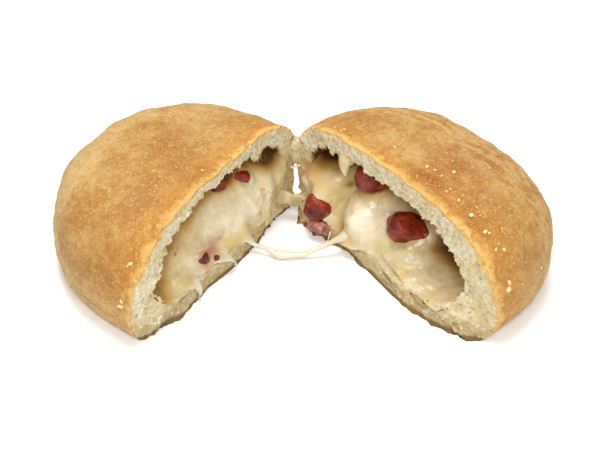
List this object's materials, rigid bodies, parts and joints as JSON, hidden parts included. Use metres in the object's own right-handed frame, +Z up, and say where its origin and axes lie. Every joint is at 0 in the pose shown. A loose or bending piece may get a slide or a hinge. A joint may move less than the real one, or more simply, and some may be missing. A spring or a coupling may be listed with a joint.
{
  "type": "panzerotto",
  "caption": "Baked stuffed dough pocket pulled open like a book, with melted cheese and diced salami showing in both torn mouths and strings of cheese between the halves.",
  "frame": {"origin": "middle of the bounding box, on the plane the bases rest on", "axes": "+Z up, +X along the two open halves side by side, -Y towards the viewer who looks into the torn mouths"},
  "size_m": [0.1844, 0.102, 0.049],
  "materials": {
    "crust": "baked golden crust with a pale torn crumb, matte",
    "cheese": "melted mozzarella, moist gloss",
    "salami": "diced cured meat, oily"
  },
  "bodies": {
    "root": {"crust_left": "crust", "crust_right": "crust", "cheese": "cheese", "salami_left_top": "salami", "salami_left_shade": "salami", "salami_left_low": "salami", "salami_left_bit": "salami", "salami_right_hinge": "salami", "salami_right_middle": "salami", "salami_right_shade": "salami", "ham_right_hinge": "salami"}
  },
  "joints": []
}
